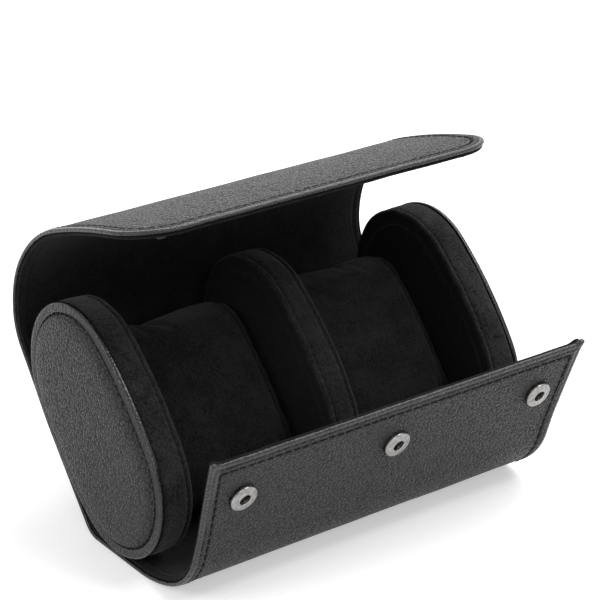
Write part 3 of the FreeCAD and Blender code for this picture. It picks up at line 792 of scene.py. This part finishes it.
def plump(roll, middle, reach):
    # cloth blown out a little over its stuffing, held at the two end seams
    activate(roll)
    remesh = roll.modifiers.new("remesh", "REMESH")
    remesh.mode = "VOXEL"
    remesh.voxel_size = cushion["voxel"]
    applyModifiers(roll)
    start = [vertex.co.copy() for vertex in roll.data.vertices]
    roll.data.transform(Matrix.Scale(cushion["scale"], 4))
    held = roll.vertex_groups.new(name="held")
    heldReach = cushion["voxel"] * cushion["heldShare"]
    held.add([i for i, point in enumerate(start) if fromSeam(point, middle, reach) < heldReach],
             1.0, "ADD")
    cloth = roll.modifiers.new("cloth", "CLOTH")
    settings = cloth.settings
    settings.quality = cushion["quality"]
    settings.mass = cushion["mass"]
    settings.use_pressure = True
    settings.uniform_pressure_force = cushion["pressure"]
    settings.shrink_min = cushion["slack"]
    settings.vertex_group_mass = "held"
    settings.effector_weights.gravity = 0
    cloth.point_cache.frame_start = 1
    cloth.point_cache.frame_end = cushion["frames"]
    for step in range(1, cushion["frames"] + 1):
        bpy.context.scene.frame_set(step)
    applyModifiers(roll)
    roll.vertex_groups.clear()
    roll.data.transform(Matrix.Scale(1 / cushion["scale"], 4))
    moved = [(vertex.co - point).length for vertex, point in zip(roll.data.vertices, start)]
    print("cushion cloth moved up to", round(max(moved) * 1000, 2), "mm")
    for vertex, point in zip(roll.data.vertices, start):
        step = vertex.co - point
        if step.length > cushion["most"]:
            vertex.co = point + step * (cushion["most"] / step.length)
    bpy.context.scene.frame_set(1)
    smooth = roll.modifiers.new("finer", "SUBSURF")
    smooth.levels = smooth.render_levels = 1
    applyModifiers(roll)


def pressSeams(roll, middle, reach):
    # the seams draw the cover in towards the roll's axis
    yAxis, zAxis = sectionPlace(cushion["forward"], 0)
    for vertex in roll.data.vertices:
        share = fromSeam(vertex.co, middle, reach) / cushion["seamWidth"]
        depth = cushion["seamDepth"] * math.exp(-share ** 2)
        inward = Vector((0, yAxis - vertex.co.y, zAxis - vertex.co.z)).normalized()
        vertex.co += inward * depth


for side, hand in (("left", -1), ("right", 1)):
    middle = hand * (cushion["inner"] + cushion["outer"]) / 2
    reach = (cushion["outer"] - cushion["inner"]) / 2 - cushion["shrink"]
    profile = [(middle + share * reach, grow - cushion["shrink"])
               for share, grow in mirrored(cushion["profile"])]
    roll = ovalShell("cushion" + side.capitalize(), cushionRays, profile, cushion["forward"])
    plump(roll, middle, reach)
    pressSeams(roll, middle, reach)
    roll.data.materials.clear()
    # painted shade over the cover, deepest at the ends
    coverInSuede(roll, shadedCushionSuede, shadedInnerSuede,
                 lambda point: max(cushion["paintedShade"], (abs(point.x - middle) - reach
                                                     + cushion["paintedShadeFrom"]) / cushion["paintedShadeFade"]))
    smoothShade(roll)
    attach(roll, side + "_cushion")
    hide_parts("cushion_" + side + "_cover", "cushion_" + side + "_core",
                "cushion_" + side + "_ends")
print("cushions ready")

# Press snaps: a turned ring on the front flap and a turned stud inside the lid
snap = {"places": (-0.0583, 0.0, 0.0583), "socketAlong": -0.0680054, "studAlong": 0.1959368,
        "segments": 48, "shadeAngle": 50,
        "socket": [(1.62, 0.0), (4.62, 0.0), (4.74, 0.12), (4.76, 0.5), (4.74, 0.95), (4.68, 1.2),
                   (4.52, 1.4), (4.3, 1.52), (4.05, 1.57), (3.5, 1.62), (3.0, 1.66), (2.6, 1.7),
                   (2.35, 1.82), (2.15, 1.86), (2.0, 1.78), (1.9, 1.6), (1.88, 1.2), (2.8, 1.15),
                   (2.85, 0.75), (1.62, 0.7)],
        "stud": [(0.0, 0.28), (1.62, 0.28), (1.62, 0.0), (3.74, 0.0), (3.82, 0.12), (3.72, 0.27),
                 (3.4, 0.35), (2.2, 0.37), (1.6, 0.42), (1.32, 0.6), (1.24, 0.9), (1.26, 1.2),
                 (1.34, 1.4), (1.32, 1.56), (1.15, 1.69), (0.8, 1.75), (0.0, 1.76)]}


def turnedPiece(name, outline):
    # an outline of radius and height in millimetres, spun round the Z axis
    deselectAll()
    bpy.ops.mesh.primitive_circle_add(vertices=len(outline))
    piece = bpy.context.active_object
    piece.name = piece.data.name = name
    for vertex, (radius, height) in zip(piece.data.vertices, outline):
        vertex.co = (radius / 1000, 0, height / 1000)
    bpy.ops.object.mode_set(mode="EDIT")
    bpy.ops.mesh.select_mode(type="EDGE")
    bpy.ops.mesh.select_all(action="DESELECT")
    bpy.ops.object.mode_set(mode="OBJECT")
    for edge in piece.data.edges:
        edge.select = all(piece.data.vertices[i].co.x == 0 for i in edge.vertices)
    bpy.ops.object.mode_set(mode="EDIT")
    bpy.ops.mesh.delete(type="EDGE_FACE")  # an edge on the axis would leave a line inside
    bpy.ops.mesh.select_all(action="SELECT")
    bpy.ops.mesh.spin(steps=snap["segments"], angle=2 * math.pi, center=(0, 0, 0), axis=(0, 0, 1))
    bpy.ops.mesh.select_all(action="SELECT")
    bpy.ops.mesh.remove_doubles(threshold=mergeDistance)
    bpy.ops.mesh.normals_make_consistent(inside=False)
    bpy.ops.object.mode_set(mode="OBJECT")
    return piece


# the studs take the darker gunmetal, painted shade under the lid
for name, along, depth, outward, finish, node, body in (
        ("socket", snap["socketAlong"], 0.0, 1, snapMetal, "snap_sockets", "front_panel"),
        ("stud", snap["studAlong"], wrap["thickness"], -1, paintedShadeMetal, "snap_studs", "lid")):
    model = turnedPiece(name, snap[name])
    model.data.materials.append(finish)
    smoothShade(model, snap["shadeAngle"])
    y, z = wrapPlace(along, depth)
    axis = wrapNormal(along) * outward
    across = Vector((1, 0, 0))
    for i, x in enumerate(snap["places"]):
        piece = placeCopy(model, name + str(i + 1), (x, y, z), across, axis.cross(across), axis)
        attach(piece, body)
        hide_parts(node)
    bpy.data.objects.remove(model)
print("snaps ready")

# Hidden metal and board keep their own shapes
# the posts take the darker gunmetal, painted shade inside the sockets' holes
hidden = {"snap_springs": snapMetal, "socket_posts": paintedShadeMetal, "stud_posts": paintedShadeMetal,
          "cap_left_core": fibreBoard, "cap_right_core": fibreBoard, "divider_core": fibreBoard}
for name, material in hidden.items():
    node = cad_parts[name]
    node.data.materials.clear()
    node.data.materials.append(material)

# Floor, light and camera
stage = {"floorSize": 6.0, "floorColour": 0.86, "floorRoughness": 0.9, "floorGlow": 0.42,
         "worldLight": 0.36}
deselectAll()
bpy.ops.mesh.primitive_plane_add(size=stage["floorSize"], location=(0, 0, 0))
floor = bpy.context.active_object
floor.name = "floor"
floorMaterial, floorTree, floorShader = newMaterial("paleFloor")
feed(floorTree, floorShader.inputs["Base Color"], (stage["floorColour"],) * 3 + (1,))
feed(floorTree, floorShader.inputs["Roughness"], stage["floorRoughness"])
feed(floorTree, floorShader.inputs["Specular IOR Level"], 0.0)
floor.data.materials.append(floorMaterial)


def seenShare(tree):
    # 1 for what the camera, a reflection or a clear piece sees, 0 for light that falls on surfaces
    path = tree.nodes.new("ShaderNodeLightPath")
    seen = mathNode(tree, "ADD", path.outputs["Is Camera Ray"], path.outputs["Is Glossy Ray"])
    seen = mathNode(tree, "ADD", seen, path.outputs["Is Transmission Ray"])
    return mathNode(tree, "MINIMUM", seen, 1.0)


glow = addNode(floorTree, "ShaderNodeEmission")
feed(floorTree, glow.inputs["Strength"],
     mathNode(floorTree, "MULTIPLY", seenShare(floorTree), stage["floorGlow"]))
together = addNode(floorTree, "ShaderNodeAddShader")
feed(floorTree, together.inputs[0], floorShader.outputs["BSDF"])
feed(floorTree, together.inputs[1], glow.outputs["Emission"])
feed(floorTree, floorTree.nodes["Material Output"].inputs["Surface"], together.outputs["Shader"])

world = bpy.data.worlds.new("studio")
bpy.context.scene.world = world
world.use_nodes = True
worldTree = world.node_tree
background = worldTree.nodes["Background"]
feed(worldTree, background.inputs["Color"], (1, 1, 1, 1))
extra = mathNode(worldTree, "MULTIPLY", seenShare(worldTree), 1 - stage["worldLight"])
feed(worldTree, background.inputs["Strength"],
     mathNode(worldTree, "ADD", extra, stage["worldLight"]))

lamps = {
    "overhead": {"place": (0.55, 0.1, 1.15), "target": (0, 0, 0.05), "size": 1.1, "power": 13.0},
    "key": {"place": (0.40, -0.57, 1.05), "target": (0, 0, 0.05), "size": 0.34, "power": 3.2},
    "behind": {"place": (0.7, 1.4, 0.5), "target": (0, 0, 0.07), "size": 0.9, "power": 2.2},
    "leftFill": {"place": (-1.2, 0.1, 0.8), "target": (0, 0, 0.05), "size": 0.6, "power": 6.0},
    "front": {"place": (-0.5, -1.2, 0.8), "target": (0, 0, 0.04), "size": 0.6, "power": 3.4}}
for name, plan in lamps.items():
    bpy.ops.object.light_add(type="AREA", location=plan["place"])
    lamp = bpy.context.active_object
    lamp.name = name
    lamp.data.size = plan["size"]
    lamp.data.energy = plan["power"]
    aim = Vector(plan["target"]) - Vector(plan["place"])
    lamp.rotation_euler = aim.to_track_quat("-Z", "Y").to_euler()

# The camera stands at the photograph's angle: azimuth and elevation, focal length in pixels of a
# frame of 600, and the case's middle in the camera's own axes
view = {"azimuth": math.radians(-36.37), "elevation": math.radians(24.085), "focalPixels": 2331.685,
        "framePixels": 600, "sensor": 36, "offset": (-0.006464, -0.023593, -0.770125), "clipEnd": 20}
azimuth, elevation = view["azimuth"], view["elevation"]
right = Vector((math.cos(azimuth), math.sin(azimuth), 0))
back = Vector((math.sin(azimuth) * math.cos(elevation), -math.cos(azimuth) * math.cos(elevation),
               math.sin(elevation)))
up = back.cross(right)
centre = Vector((0, oval["centreY"], oval["centreZ"]))
spot = centre - right * view["offset"][0] - up * view["offset"][1] - back * view["offset"][2]
bpy.ops.object.camera_add(location=spot)
camera = bpy.context.active_object
camera.rotation_euler = Matrix((right, up, back)).transposed().to_euler()
camera.data.lens = view["focalPixels"] / view["framePixels"] * view["sensor"]
camera.data.sensor_width = view["sensor"]
camera.data.clip_end = view["clipEnd"]
bpy.context.scene.camera = camera
bpy.context.scene.view_settings.view_transform = "Standard"
deselectAll()
print("stage ready")
